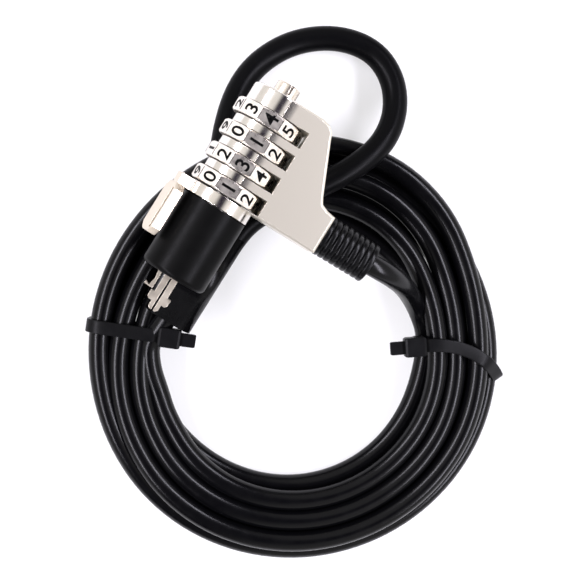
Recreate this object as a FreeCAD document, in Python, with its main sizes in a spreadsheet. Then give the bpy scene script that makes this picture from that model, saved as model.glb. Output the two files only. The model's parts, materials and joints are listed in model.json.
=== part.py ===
import FreeCAD, Part
import math
import os

import Sketcher
from FreeCAD import Placement, Rotation, Vector

# Combination cable lock for a laptop's security slot, lying on its own coiled cable.
#
# Frame: millimetres. The origin is the middle of the nose, where the T-bar leaves the lock and
# meets the laptop. +Y runs back along the lock's axis to the release button, +X points along
# the wing to the cable, and +Z is the way the wing's flat face looks.

doc = FreeCAD.newDocument("CableLock")

# ---------------------------------------------------------------- driving dimensions

DIMENSIONS = {
    # black sleeve round the nose, and the steel disc inside its mouth
    "sleeve_radius": 8.35,
    "sleeve_wall": 1.45,
    "sleeve_length": 19.4,
    "sleeve_edge": 1.3,
    "mouth_radius": 4.6,
    "mouth_wall": 2.0,
    "disc_thickness": 2.0,
    "bush_place": 14.0,
    "bush_length": 4.0,
    # centre core and the shaft in its bore
    "core_nose_radius": 4.0,
    "core_dial_radius": 3.25,
    "core_bore_radius": 2.05,
    "running_gap": 0.05,
    "spring_bore_radius": 2.6,
    "spring_bore_length": 6.7,
    # turning collar and its thumb lever
    "collar_radius": 8.4,
    "collar_length": 2.9,
    "axial_gap": 0.3,
    "lever_angle": 70,
    "lever_travel": 90,
    "lever_standoff": 1.5,
    "lever_thickness": 2.5,
    "lever_width": 8.0,
    "lever_length": 13.4,
    "lever_corner": 1.6,
    "groove_width": 0.8,
    "groove_depth": 0.7,
    "neck_width": 3.4,
    "neck_start": 6.5,
    "pin_radius": 0.6,
    "pin_slack": 27,
    # number dials and the rings under them
    "dial_count": 4,
    "dial_faces": 10,
    "dial_radius": 9.0,
    "dial_length": 3.65,
    "dial_pitch": 6.2,
    "dial_setback": 0.175,
    "dial_corner": 0.45,
    "code_radius": 6.0,
    "window_length": 4.2,
    "window_gap": 0.4,
    # cast housing: barrel and wing
    "barrel_radius": 7.5,
    "core_overhang": 1.7,
    "cap_depth": 3.275,
    "cap_edge": 0.6,
    "wing_thickness": 12.7,
    "wing_edge": 0.45,
    "wing_lead": 0.1,
    "wing_end": 25.1,
    "anchor_length": 9.7,
    "shoulder_reach": 13.9,
    "shoulder_drop": 1.5,
    "waist_reach": 20.1,
    "waist_setback": 12.3,
    # cable stop in the wing, its cover and screws
    "cable_setback": 5.2,
    "cable_height": 1.2,
    "stop_radius": 3.2,
    "stop_length": 5.4,
    "pocket_start": 11.4,
    "pocket_wall": 0.9,
    "cover_thickness": 1.2,
    "cover_start": 10.4,
    "cover_width": 7.4,
    "cover_setback": 1.0,
    "cover_length": 13.9,
    "screw_spacing": 4.2,
    "screw_setback": 10.7,
    "screw_head_radius": 1.4,
    "screw_head_length": 0.7,
    "screw_shank_radius": 0.8,
    "screw_length": 4.0,
    # release button
    "button_radius": 3.05,
    "button_proud": 3.4,
    "button_travel": 1.6,
    "button_edge": 0.55,
    "notch_width": 0.7,
    "rod_radius": 1.2,
    "rod_foot_length": 3.0,
    # T-bar and the barb beside it
    "shaft_tail": 6.2,
    "shank_width": 3.5,
    "shank_thickness": 2.4,
    "shank_length": 4.9,
    "slit_width": 0.5,
    "tee_width": 5.4,
    "tee_length": 2.2,
    "tip_width": 2.6,
    "tip_length": 2.0,
    "tee_corner": 0.5,
    "barb_thickness": 2.0,
    "barb_inside": 2.65,
    "barb_reach": 5.0,
    # strain relief and cable
    "relief_root_radius": 5.2,
    "relief_end_radius": 5.0,
    "relief_length": 14.0,
    "relief_ribs": 9,
    "rib_depth": 0.55,
    "rib_groove": 0.75,
    "spigot_radius": 3.0,
    "cable_diameter": 5.4,
    "loop_diameter": 6.4,
    # coil of cable under the lock
    "coil_inner_left": 5.3,
    "coil_centre_y": -1.0,
    "coil_middle_radius": 44.0,
    "coil_strands_wide": 4,
    "coil_layers": 2,
    "coil_top": -15.6,
    "coil_corner": 2.6,
    # crimped ferrule that closes the loop
    "crimp_centre_x": 5.1,
    "crimp_centre_y": 3.1,
    "crimp_height": -13.0,
    "crimp_tilt": 5,
    "crimp_length": 27.0,
    "crimp_width": 13.0,
    "crimp_thickness": 6.8,
    "crimp_wall": 0.8,
    # cable ties
    "tie_thickness": 1.2,
    "tie_width": 3.0,
    "tie_slack": 0.15,
    "tie_rise": 3.2,
    "tie_head_length": 5.6,
    "tie_head_width": 5.0,
    "tie_head_height": 4.0,
    "tie_tail": 4.2,
    "tie_left_angle": 203,
    "tie_right_angle": 31,
}

sheet = doc.addObject("Spreadsheet::Sheet", "Sizes")
for row, (alias, value) in enumerate(DIMENSIONS.items(), start=1):
    sheet.set(f"A{row}", alias.replace("_", " "))
    sheet.set(f"B{row}", str(value))
    sheet.setAlias(f"B{row}", alias)
doc.recompute()


class Size:
    """A length or angle that carries both its value and the formula that the sheet solves."""

    def __init__(self, value, text=None):
        self.value = float(value)
        self.text = text or (f"{value:.10g}" if value >= 0 else f"(0 - {-value:.10g})")

    def __add__(self, other):
        other = as_size(other)
        return Size(self.value + other.value, f"({self.text} + {other.text})")

    def __sub__(self, other):
        other = as_size(other)
        return Size(self.value - other.value, f"({self.text} - {other.text})")

    def __mul__(self, other):
        other = as_size(other)
        return Size(self.value * other.value, f"({self.text} * {other.text})")

    def __truediv__(self, other):
        other = as_size(other)
        return Size(self.value / other.value, f"({self.text} / {other.text})")

    def __neg__(self):
        return Size(-self.value, f"(0 - {self.text})")

    def __radd__(self, other):
        return as_size(other) + self

    def __rsub__(self, other):
        return as_size(other) - self

    def __rmul__(self, other):
        return as_size(other) * self


def as_size(value):
    return value if isinstance(value, Size) else Size(value)


def size(alias):
    """The named cell of the sheet."""
    return Size(DIMENSIONS[alias], f"Sizes.{alias}")


def count(alias):
    return int(DIMENSIONS[alias])


# ---------------------------------------------------------------- ways to make a piece

TURNED = {
    "X": Rotation(Vector(0, 1, 0), 90),
    "Y": Rotation(Vector(1, 0, 0), -90),
    "Z": Rotation(),
}
LYING = Rotation(Vector(0, 0, 1), -90)
UPRIGHT = Rotation(Vector(1, 0, 0), 90)


def bind(thing, name, value):
    """Ties one property to the sheet."""
    thing.setExpression(name, as_size(value).text)


def place(thing, base, rotation=None):
    """Puts an object at base, each coordinate of which follows the sheet."""
    base = [as_size(v) for v in base]
    thing.Placement = Placement(Vector(*(v.value for v in base)), rotation or Rotation())
    for axis, value in zip("xyz", base):
        bind(thing, f"Placement.Base.{axis}", value)
    return thing


def box(name, low, lengths):
    thing = doc.addObject("Part::Box", name)
    for side, value in zip(("Length", "Width", "Height"), lengths):
        bind(thing, side, value)
    return place(thing, low)


def cylinder(name, radius, length, base, along="Y"):
    thing = doc.addObject("Part::Cylinder", name)
    bind(thing, "Radius", radius)
    bind(thing, "Height", length)
    return place(thing, base, TURNED[along])


def cut(name, base, *tools):
    """base with each tool taken away in turn."""
    for tool in tools:
        thing = doc.addObject("Part::Cut", name)
        thing.Base = base
        thing.Tool = tool
        base = thing
    return base


def fuse(name, *pieces):
    thing = doc.addObject("Part::MultiFuse", name)
    thing.Shapes = list(pieces)
    thing.Refine = True
    return thing


def common(name, base, tool):
    thing = doc.addObject("Part::Common", name)
    thing.Base = base
    thing.Tool = tool
    return thing


def new_body(name):
    return doc.addObject("PartDesign::Body", name)


def origin_plane(body, role):
    return next(f for f in body.Origin.OriginFeatures if f.Role == role)


def outline(body, name, loops, role="XY_Plane"):
    """A sketch of closed polygons on one of the body's own planes, every corner on the sheet."""
    sketch = body.newObject("Sketcher::SketchObject", name)
    sketch.AttachmentSupport = [(origin_plane(body, role), "")]
    sketch.MapMode = "FlatFace"
    first = 0
    for corners in loops:
        corners = [(as_size(x), as_size(y)) for x, y in corners]
        total = len(corners)
        for i, (x, y) in enumerate(corners):
            nx, ny = corners[(i + 1) % total]
            line = Part.LineSegment(Vector(x.value, y.value, 0), Vector(nx.value, ny.value, 0))
            sketch.addGeometry(line)
        for i in range(total):
            sketch.addConstraint(
                Sketcher.Constraint("Coincident", first + i, 2, first + (i + 1) % total, 1)
            )
        for i, (x, y) in enumerate(corners):
            for kind, value, axis in (("DistanceX", x, -2), ("DistanceY", y, -1)):
                if value.text == "0":
                    rule = Sketcher.Constraint("PointOnObject", first + i, 1, axis)
                    sketch.addConstraint(rule)
                else:
                    rule = Sketcher.Constraint(kind, -1, 1, first + i, 1, value.value)
                    bind(sketch, f"Constraints[{sketch.addConstraint(rule)}]", value)
        first += total
    return sketch


def feature(body, kind, name, sketch, **values):
    """A PartDesign feature of the body, made from a sketch."""
    thing = body.newObject(f"PartDesign::{kind}", name)
    thing.Profile = sketch
    for key, value in values.items():
        if isinstance(value, Size):
            bind(thing, key, value)
        else:
            setattr(thing, key, value)
    sketch.Visibility = False
    return thing


def turned(body, name, corners, kind="Revolution"):
    """A turned shape: corners are (radius, place along the body's Y axis)."""
    sketch = outline(body, f"{name}_profile", [corners])
    return feature(body, kind, name, sketch, ReferenceAxis=(sketch, ["V_Axis"]), Angle=360.0)


def padded(body, name, loops, length, kind="Pad", role="XY_Plane"):
    """A flat outline given a thickness, half of it each side of its plane."""
    sketch = outline(body, f"{name}_outline", loops, role)
    return feature(body, kind, name, sketch, SideType="Symmetric", Length=length)


def rectangle(x0, x1, y0, y1):
    return [(x0, y0), (x1, y0), (x1, y1), (x0, y1)]


def softened(body, base, kind, name, amount, wanted):
    """Rounds or chamfers the edges of base for which wanted(edge) is true."""
    doc.recompute()
    names = [f"Edge{i}" for i, edge in enumerate(base.Shape.Edges, start=1) if wanted(edge)]
    thing = body.newObject(f"PartDesign::{kind}", name)
    thing.Base = (base, names)
    bind(thing, "Radius" if kind == "Fillet" else "Size", amount)
    return thing


def edge_at(radius, along):
    """Picks the round edge of that radius at that place on the Y axis."""

    def wanted(edge):
        curve = edge.Curve
        return (
            curve.TypeId == "Part::GeomCircle"
            and abs(curve.Radius - radius.value) < 1e-4
            and abs(curve.Center.y - as_size(along).value) < 1e-4
        )

    return wanted


PARTS = {}


def keep(node, thing):
    """Gives a finished sub-part its label, which also names its file."""
    thing.Label = node
    PARTS[node] = thing
    return thing


# ---------------------------------------------------------------- places along the axis

gap = size("axial_gap")
run = size("running_gap")
collar_start = size("sleeve_length") + gap
collar_end = collar_start + size("collar_length")
first_dial = collar_end + gap + size("dial_length") / 2 + size("dial_setback")
dial_middles = [first_dial + k * size("dial_pitch") for k in range(count("dial_count"))]
core_end = dial_middles[-1] + size("dial_length") / 2 + size("core_overhang")
cap_end = core_end + size("cap_depth")
shaft_end = collar_end + size("shaft_tail")
wing_front = collar_end - size("wing_lead")
wing_under = size("barrel_radius") - size("wing_thickness")
cable_place = wing_front + size("cable_setback")
cover_front = wing_front + size("cover_setback")
screw_place = cover_front + size("screw_setback")
disc_back = size("mouth_wall") + size("disc_thickness")
sleeve_bore = size("sleeve_radius") - size("sleeve_wall")

# places in the coil, whose inner left edge stays under the lock
coil_width = size("coil_strands_wide") * size("cable_diameter")
coil_height = size("coil_layers") * size("cable_diameter")
coil_bottom = size("coil_top") - coil_height
coil_inside = size("coil_middle_radius") - coil_width / 2
coil_x = size("coil_inner_left") + coil_inside
coil_y = size("coil_centre_y")


# ---------------------------------------------------------------- nose: sleeve, disc, bush, barb


def make_sleeve():
    body = new_body("Sleeve")
    r, length = size("sleeve_radius"), size("sleeve_length")
    mouth, wall = size("mouth_radius"), size("mouth_wall")
    shell = turned(
        body,
        "SleeveShell",
        [(mouth, 0), (r, 0), (r, length), (sleeve_bore, length), (sleeve_bore, wall), (mouth, wall)],
    )
    softened(body, shell, "Fillet", "SleeveRound", size("sleeve_edge"), edge_at(r, 0))
    keep("sleeve", body)


def make_nose_disc():
    body = new_body("NoseDisc")
    hole, front = size("core_bore_radius"), size("mouth_wall")
    turned(
        body,
        "DiscRing",
        [(hole, front), (sleeve_bore, front), (sleeve_bore, disc_back), (hole, disc_back)],
    )
    keep("nose_disc", body)


def make_bush():
    body = new_body("Bush")
    inner, low = size("core_nose_radius") + run, size("bush_place")
    high = low + size("bush_length")
    turned(body, "BushRing", [(inner, low), (sleeve_bore, low), (sleeve_bore, high), (inner, high)])
    keep("inner_bush", body)


def make_barb():
    """The barbed guide that stands in the nose's mouth beside the T-bar."""
    body = new_body("Barb")
    inside, reach, root = -size("barb_inside"), -size("barb_reach"), size("mouth_wall")
    under = -(size("shank_length") - gap)
    padded(
        body,
        "BarbPlate",
        [
            [
                (inside, root),
                (inside - 1.35, root),
                (inside - 0.65, -2.2),
                (inside - 1.1, -4.4),
                (reach + 0.2, -3.7),
                (reach, -4.5),
                (inside - 0.75, under),
                (inside, under),
            ]
        ],
        size("barb_thickness"),
    )
    keep("guide_barb", body)


# ---------------------------------------------------------------- core tube


def drive_pin_tool(name, radius, length, start=0.0):
    """A round bar that leaves the axis towards the thumb lever at rest."""
    bar = doc.addObject("Part::Cylinder", name)
    bind(bar, "Radius", radius)
    bind(bar, "Height", length)
    lean = Rotation(Vector(0, 1, 0), -DIMENSIONS["lever_angle"])
    bar.Placement = Placement(lean.multVec(Vector(0, 0, start)), lean)
    bind(bar, "Placement.Base.y", (collar_start + collar_end) / 2)
    return bar


def make_core():
    body = new_body("Core")
    bore, wide = size("core_bore_radius"), size("spring_bore_radius")
    thick, thin = size("core_nose_radius"), size("core_dial_radius")
    step, spring_seat = collar_end + 0.1, core_end - size("spring_bore_length")
    turned(
        body,
        "CoreTube",
        [
            (bore, disc_back),
            (thick, disc_back),
            (thick, step),
            (thin, step),
            (thin, core_end),
            (wide, core_end),
            (wide, spring_seat),
            (bore, spring_seat),
        ],
    )
    # the sector of wall that the drive pin sweeps through
    slack, travel = size("pin_slack"), size("lever_travel")
    window = doc.addObject("Part::Cylinder", "PinWindow")
    bind(window, "Radius", thick + 1)
    height = 2 * size("pin_radius") + 2 * gap
    bind(window, "Height", height)
    bind(window, "Angle", travel + 2 * slack)
    # a cylinder's sector opens from its own X axis, which is turned here to the far end of travel
    start = DIMENSIONS["lever_angle"] - DIMENSIONS["lever_travel"] - DIMENSIONS["pin_slack"]
    spin = Rotation(Vector(0, 1, 0), -90 - start).multiply(Rotation(Vector(1, 0, 0), 90))
    window.Placement = Placement(Vector(0, 0, 0), spin)
    bind(window, "Placement.Base.y", (collar_start + collar_end) / 2 + height / 2)
    keep("core_tube", cut("CoreWithWindow", body, window))


# ---------------------------------------------------------------- collar, thumb lever, drive pin


def make_lever():
    """The turning collar and its lever are one casting, made upright and then leaned over."""
    collar = cylinder(
        "Collar", size("collar_radius"), size("collar_length"), (0, collar_start, 0)
    )
    foot = size("sleeve_radius") + size("lever_standoff")
    width, length, thick = size("lever_width"), size("lever_length"), size("lever_thickness")
    back = collar_start + 0.1
    paddle = new_body("Paddle")
    corner = size("lever_corner")
    plate = padded(
        paddle,
        "PaddlePlate",
        [
            [
                (corner - width / 2, back - length),
                (width / 2 - corner, back - length),
                (width / 2, back - length + corner),
                (width / 2, back - corner),
                (width / 2 - corner, back),
                (corner - width / 2, back),
                (-width / 2, back - corner),
                (-width / 2, back - length + corner),
            ]
        ],
        thick,
    )
    softened(
        paddle, plate, "Chamfer", "PaddleEdge", Size(0.4), lambda e: lies_flat(e, thick.value / 2)
    )
    place(paddle, (0, 0, foot + thick / 2))
    groove_at = width / 2 - 2.3
    groove = box(
        "PaddleGroove",
        (groove_at, back - length + 1.2, foot + thick - size("groove_depth")),
        (size("groove_width"), length - 2.6, thick),
    )
    neck = size("neck_width")
    riser = box(
        "NeckRiser",
        (-neck / 2, back - 2.4, foot),
        (neck, collar_end - back + 2.2, thick - 0.4),
    )
    root = box(
        "NeckRoot",
        (-neck / 2, collar_start, size("neck_start")),
        (neck, size("collar_length") - 0.2, foot + 0.5 - size("neck_start")),
    )
    solid = fuse("LeverSolid", collar, paddle, riser, root)
    bore = cylinder(
        "CollarBore", size("core_nose_radius") + run, 10, (0, collar_start - 2, 0)
    )
    lever = cut("LeverCut", solid, groove, bore)
    lean_over(lever)
    hole = drive_pin_tool("CollarPinHole", size("pin_radius"), pin_reach())
    keep("thumb_lever", cut("LeverDrilled", lever, hole))


def lies_flat(edge, height):
    """True for an edge in the plane z = height or z = -height."""
    return all(abs(abs(v.Z) - height) < 1e-4 for v in edge.Vertexes) and (
        len({round(v.Z, 3) for v in edge.Vertexes}) == 1
    )


def lean_over(thing):
    thing.Placement = Placement(
        Vector(0, 0, 0), Rotation(Vector(0, 1, 0), -DIMENSIONS["lever_angle"])
    )


def pin_reach():
    return size("collar_radius") - 1.4


def make_drive_pin():
    keep("drive_pin", drive_pin_tool("DrivePin", size("pin_radius"), pin_reach()))


# ---------------------------------------------------------------- T-bar


def make_tee():
    radius = size("core_bore_radius") - run
    shaft = cylinder("Shaft", radius, shaft_end - 0.3, (0, 0.3, 0))
    wide, thick, long = size("shank_width"), size("shank_thickness"), size("shank_length")
    shank = box("Shank", (-wide / 2, -long, -thick / 2), (wide, long + 0.8, thick))
    across, arms, tip = size("tee_width"), -long - size("tee_length"), size("tip_width")
    end = arms - size("tip_length")
    bar = new_body("TeeBar")
    corner = size("tee_corner")
    padded(
        bar,
        "TeePlate",
        [
            [
                (corner - tip / 2, end),
                (tip / 2 - corner, end),
                (tip / 2, end + corner),
                (tip / 2, arms),
                (across / 2 - corner, arms),
                (across / 2, arms + corner),
                (across / 2, -long),
                (-across / 2, -long),
                (-across / 2, arms + corner),
                (corner - across / 2, arms),
                (-tip / 2, arms),
                (-tip / 2, end + corner),
            ]
        ],
        thick,
    )
    solid = fuse("TeeSolid", shaft, shank, bar)
    slit = box(
        "TeeSlit",
        (-size("slit_width") / 2, end - 1, -thick),
        (size("slit_width"), 0.6 - end, 2 * thick),
    )
    hole = drive_pin_tool("ShaftPinHole", size("pin_radius"), pin_reach())
    keep("t_bar", cut("TeeCut", solid, slit, hole))


# ---------------------------------------------------------------- number dials


def make_dial(k, middle):
    """A ten-sided ring with turned-off corners, and the notched code ring inside it."""
    length, radius = size("dial_length"), size("dial_radius")
    start = middle - length / 2
    prism = doc.addObject("Part::Prism", f"DialPrism{k}")
    bind(prism, "Polygon", size("dial_faces"))
    bind(prism, "Circumradius", radius)
    bind(prism, "Height", length)
    blank = cylinder(f"DialBlank{k}", radius - 0.02, length, (0, 0, 0), "Z")
    doc.recompute()
    lathe = doc.addObject("Part::Chamfer", f"DialLathe{k}")
    lathe.Base = blank
    cuts = DIMENSIONS["dial_corner"]
    lathe.Edges = [(i, cuts, cuts) for i, e in enumerate(blank.Shape.Edges, 1) if e.isClosed()]
    ring = common(f"DialRing{k}", prism, lathe)
    bore = cylinder(f"DialBore{k}", size("code_radius"), length + 2, (0, 0, -1), "Z")
    dial = cut(f"Dial{k}", ring, bore)
    place(dial, (0, start, 0), TURNED["Y"])
    keep(f"number_dial_{k}", dial)

    disc = cylinder(f"CodeDisc{k}", size("code_radius"), length, (0, start, 0))
    inner = size("core_dial_radius") + run
    hole = cylinder(f"CodeBore{k}", inner, length + 2, (0, start - 1, 0))
    notch = box(f"CodeNotch{k}", (-0.8, start - 1, 0), (1.6, length + 2, inner + 1.4))
    keep(f"code_ring_{k}", cut(f"CodeRing{k}", disc, hole, notch))


# ---------------------------------------------------------------- housing


def make_housing():
    body = new_body("Housing")
    thick, front, end, cap = size("wing_thickness"), wing_front, size("wing_end"), cap_end
    shoulder, waist = size("shoulder_reach"), size("waist_reach")
    waist_y, anchor_y = front + size("waist_setback"), front + size("anchor_length")
    wing = padded(
        body,
        "Wing",
        [
            [
                (2, front),
                (end, front),
                (end, anchor_y),
                (waist + 2.7, anchor_y + 0.4),
                (waist + 0.9, anchor_y + 1.1),
                (waist, waist_y),
                (shoulder + 4.45, waist_y + 3.9),
                (shoulder + 0.7, cap - 3.3),
                (shoulder, cap - size("shoulder_drop")),
                (shoulder - 1.3, cap - 0.45),
                (shoulder - 3.3, cap),
                (2, cap),
            ]
        ],
        thick,
    )
    edges = softened(
        body, wing, "Chamfer", "WingEdge", size("wing_edge"), lambda e: rims_the_wing(e, thick)
    )
    # the outline is drawn through the middle of the slab, which then drops below the axis
    place(body, (0, 0, wing_under + thick / 2))
    body.Tip = edges
    side, depth = size("window_length") / 2, size("dial_radius") + size("window_gap")
    slots = [rectangle(-depth - 2, depth, y - side, y + side) for y in dial_middles]
    barrel_start = dial_middles[0] + side
    barrel = cylinder(
        "Barrel", size("barrel_radius"), cap - barrel_start, (0, barrel_start, 0)
    )
    doc.recompute()
    rounded = doc.addObject("Part::Fillet", "BarrelRound")
    rounded.Base = barrel
    edge = size("cap_edge").value
    rounded.Edges = [
        (i, edge, edge)
        for i, e in enumerate(barrel.Shape.Edges, 1)
        if e.isClosed() and abs(e.CenterOfMass.y - cap.value) < 1e-4
    ]
    casting = fuse("Casting", rounded, body)
    windows = new_body("Windows")
    padded(windows, "WindowBlocks", slots, Size(40))
    button = cylinder(
        "ButtonBore", size("button_radius") + run, 10, (0, core_end, 0)
    )
    core_stop = cylinder("CoreStopSpace", size("core_dial_radius"), core_end - 10, (0, 10, 0))
    collar_space = cylinder(
        "CollarSpace",
        size("collar_radius") + gap,
        collar_end + gap - 10,
        (0, 10, 0),
    )
    y, z, below = cable_place, size("cable_height"), wing_under - 1
    cable_bore = cylinder(
        "CableBore", size("spigot_radius") + run, end, (size("pocket_start") + 1, y, z), "X"
    )
    reach = size("stop_radius") + 0.1
    pocket = box(
        "StopPocket",
        (size("pocket_start"), y - reach, below),
        (size("stop_length") + 0.2, 2 * reach, z + reach - below),
    )
    seat = box(
        "CoverSeat",
        (size("cover_start"), cover_front, below),
        (size("cover_width"), size("cover_length"), size("cover_thickness") + 1),
    )
    holes = [
        cylinder(
            f"ScrewHole{n}",
            size("screw_shank_radius"),
            size("screw_length") + 2,
            (screw_x(n), screw_place, below),
            "Z",
        )
        for n in (1, 2)
    ]
    keep(
        "housing",
        cut(
            "HousingCut",
            casting,
            windows,
            core_stop,
            button,
            collar_space,
            cable_bore,
            pocket,
            seat,
            *holes,
        ),
    )


def rims_the_wing(edge, thick):
    """The long edges round the wing's two flat faces, but not the ones inside the barrel."""
    return lies_flat(edge, thick.value / 2) and edge.BoundBox.XMax > 2.5


def screw_x(n):
    side = size("screw_spacing") / 2
    middle = size("cover_start") + size("cover_width") / 2
    return middle - side if n == 1 else middle + side


def make_cover_and_screws():
    under, thick = wing_under, size("cover_thickness")
    plate = box(
        "CoverPlate",
        (size("cover_start"), cover_front, under),
        (size("cover_width"), size("cover_length"), thick),
    )
    head, shank = size("screw_head_radius"), size("screw_shank_radius")
    tools = []
    for n in (1, 2):
        at = (screw_x(n), screw_place, under)
        tools.append(cylinder(f"HeadSeat{n}", head, size("screw_head_length"), at, "Z"))
        tools.append(cylinder(f"ShankHole{n}", shank, thick + 1, at, "Z"))
        cap = cylinder(f"ScrewHead{n}", head, size("screw_head_length"), at, "Z")
        stem = cylinder(f"ScrewStem{n}", shank, size("screw_length"), at, "Z")
        cross = [
            box(f"Cross{n}{side}", (at[0] - x / 2, at[1] - y / 2, under - 1), (x, y, 1.4))
            for side, x, y in (("a", 1.7, 0.4), ("b", 0.4, 1.7))
        ]
        keep(f"cover_screw_{n}", cut(f"Screw{n}", fuse(f"ScrewSolid{n}", cap, stem), *cross))
    keep("back_cover", cut("Cover", plate, *tools))


def make_cable_stop():
    x = size("pocket_start") + 0.1
    at = (x, cable_place, size("cable_height"))
    keep("cable_stop", cylinder("CableStop", size("stop_radius"), size("stop_length"), at, "X"))


# ---------------------------------------------------------------- release button


def make_button():
    radius, cap = size("button_radius"), cap_end
    low, high = core_end + size("button_travel") + 0.2, cap + size("button_proud")
    body = new_body("Button")
    knob = turned(body, "Knob", [(0, low), (radius, low), (radius, high), (0, high)])
    softened(body, knob, "Fillet", "KnobRound", size("button_edge"), edge_at(radius, high))
    width = size("notch_width")
    notch = box(
        "KnobNotch",
        (0.4, cap + 0.9, radius - 0.6),
        (width, size("button_proud"), radius),
    )
    keep("release_button", cut("KnobCut", body, notch))

    rod = new_body("Rod")
    foot, thin = size("core_bore_radius") - run, size("rod_radius")
    start = shaft_end + size("button_travel") + 0.4
    step = start + size("rod_foot_length")
    turned(
        rod, "RodTurned", [(0, start), (foot, start), (foot, step), (thin, step), (thin, low), (0, low)]
    )
    keep("push_rod", rod)

    spring = new_body("Spring")
    seat = core_end - size("spring_bore_length")
    inner, outer = thin + gap, size("spring_bore_radius") - 0.1
    top = core_end - 0.3
    turned(spring, "SpringTube", [(inner, seat), (outer, seat), (outer, top), (inner, top)])
    keep("return_spring", spring)


# ---------------------------------------------------------------- strain relief


def make_relief():
    """A ribbed boot on a plain spigot, turned on its own axis and laid along the wing."""
    body = new_body("Relief")
    root, tip, length = (
        size("relief_root_radius"),
        size("relief_end_radius"),
        size("relief_length"),
    )
    spigot = size("spigot_radius")
    start = size("pocket_start") + size("stop_length") + 0.3 - size("wing_end")
    turned(
        body,
        "Boot",
        [(0, start), (spigot, start), (spigot, 0), (root, 0), (tip, length), (0, length)],
    )
    ribs = count("relief_ribs")
    pitch = length / ribs
    grooves = []
    for k in range(1, ribs):
        y = k * pitch
        bottom = tip - size("rib_depth")
        half = size("rib_groove") / 2
        grooves.append(rectangle(bottom, root + 1, y - half, y + half))
    sketch = outline(body, "Grooves_profile", grooves)
    feature(body, "Groove", "Grooves", sketch, ReferenceAxis=(sketch, ["V_Axis"]), Angle=360.0)
    place(body, (size("wing_end"), cable_place, size("cable_height")), LYING)
    keep("strain_relief", body)


# ---------------------------------------------------------------- cable


def rounded_path(points):
    """Straight runs joined by tangent arcs, each arc as large as its two runs allow."""
    points = [Vector(*p) for p in points]
    edges, radii, here = [], [], points[0]
    for before, corner, after in zip(points, points[1:], points[2:]):
        back, ahead = before - corner, after - corner
        run_length = min(back.Length, ahead.Length)
        back.normalize()
        ahead.normalize()
        half_turn = (math.pi - back.getAngle(ahead)) / 2
        trim = 0.45 * run_length
        radius = trim / math.tan(half_turn)
        radii.append(round(radius, 1))
        start, end = corner + back * trim, corner + ahead * trim
        inward = back + ahead
        inward.normalize()
        centre = corner + inward * (radius / math.cos(half_turn))
        middle = centre - inward * radius
        edges += [Part.LineSegment(here, start).toShape(), Part.Arc(start, middle, end).toShape()]
        here = end
    edges.append(Part.LineSegment(here, points[-1]).toShape())
    return Part.Wire(edges), radii


def cord(node, points, diameter):
    """One plain round tube along a hand-chosen route."""
    path, radii = rounded_path(points)
    along = path.Edges[0].tangentAt(path.Edges[0].FirstParameter)
    section = Part.Wire(Part.makeCircle(diameter / 2, Vector(*points[0]), along))
    tube = path.makePipeShell([section], True, False)
    expected = math.pi * diameter**2 / 4 * path.Length
    print(f"{node}: length {path.Length:.1f} mm, radii {radii}")
    if abs(tube.Volume / expected - 1) > 0.01:
        raise ValueError(f"{node} has volume {tube.Volume:.0f} and should have {expected:.0f}")
    thing = doc.addObject("Part::Feature", node.title().replace("_", ""))
    thing.Shape = tube
    thing.Placement = Placement()
    keep(node, thing)


def on_coil(angle, inset, z):
    """A point over the coil, inset from the middle of its width towards its centre."""
    radius = DIMENSIONS["coil_middle_radius"] - inset
    turn = math.radians(angle)
    return coil_x.value + radius * math.cos(turn), coil_y.value + radius * math.sin(turn), z


relief_end = DIMENSIONS["wing_end"] + DIMENSIONS["relief_length"]

LEAD = [
    (relief_end, cable_place.value, DIMENSIONS["cable_height"]),
    (44.5, 28.1, -1.2),
    (50.0, 28.4, -6.5),
    (55.0, 27.9, -13.0),
    on_coil(50.6, 8.5, -19.1),
    on_coil(39.5, 7.1, -22.4),
]
TAIL = [
    (5.1, -10.2, -14.2),
    (4.6, -17.0, -15.4),
    (7.0, -24.5, -16.9),
    on_coil(227.5, 4.0, -18.4),
]
LOOP = [
    (1.85, 16.3, -11.9),
    (-1.2, 23.5, -12.5),
    (-4.6, 31.0, -12.9),
    (-8.2, 39.5, -16.0),
    (-10.4, 49.5, -19.8),
    (-9.2, 58.7, -22.2),
    (-4.2, 67.8, -23.2),
    (4.5, 74.6, -23.2),
    (14.5, 76.8, -22.8),
    (22.8, 72.8, -21.4),
    (27.6, 65.0, -18.6),
    (28.3, 56.0, -14.8),
    (25.0, 47.0, -12.8),
    (19.5, 38.0, -12.5),
    (14.0, 30.0, -12.5),
    (9.8, 22.8, -12.2),
    (8.35, 16.3, -11.9),
]


def make_coil():
    """The closed outer shape of the wound cable: a flat ring with its inner top strand missing."""
    body = new_body("Coil")
    middle, half, low, high = size("coil_middle_radius"), coil_width / 2, coil_bottom, size("coil_top")
    corner, step = size("coil_corner"), size("cable_diameter")
    turned(
        body,
        "CoilRing",
        [
            (middle - half, low + corner),
            (middle - half + corner, low),
            (middle + half - corner, low),
            (middle + half, low + corner),
            (middle + half, high - corner),
            (middle + half - corner, high),
            (middle - half + step, high),
            (middle - half, high - step),
        ],
    )
    place(body, (coil_x, coil_y, 0), UPRIGHT)
    keep("cable_coil", body)


# ---------------------------------------------------------------- crimped ferrule


def stadium(name, length, width, thick, inset):
    """A flat-sided oval bar along Y: two round rods with a block between them."""
    radius = thick / 2 - inset
    side = width / 2 - thick / 2
    start = inset - length / 2
    rods = [
        cylinder(f"{name}Rod{tag}", radius, length - 2 * inset, (x, start, 0))
        for tag, x in (("Left", -side), ("Right", side))
    ]
    block = box(f"{name}Block", (-side, start, -radius), (2 * side, length - 2 * inset, 2 * radius))
    return fuse(f"{name}Oval", *rods, block)


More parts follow.
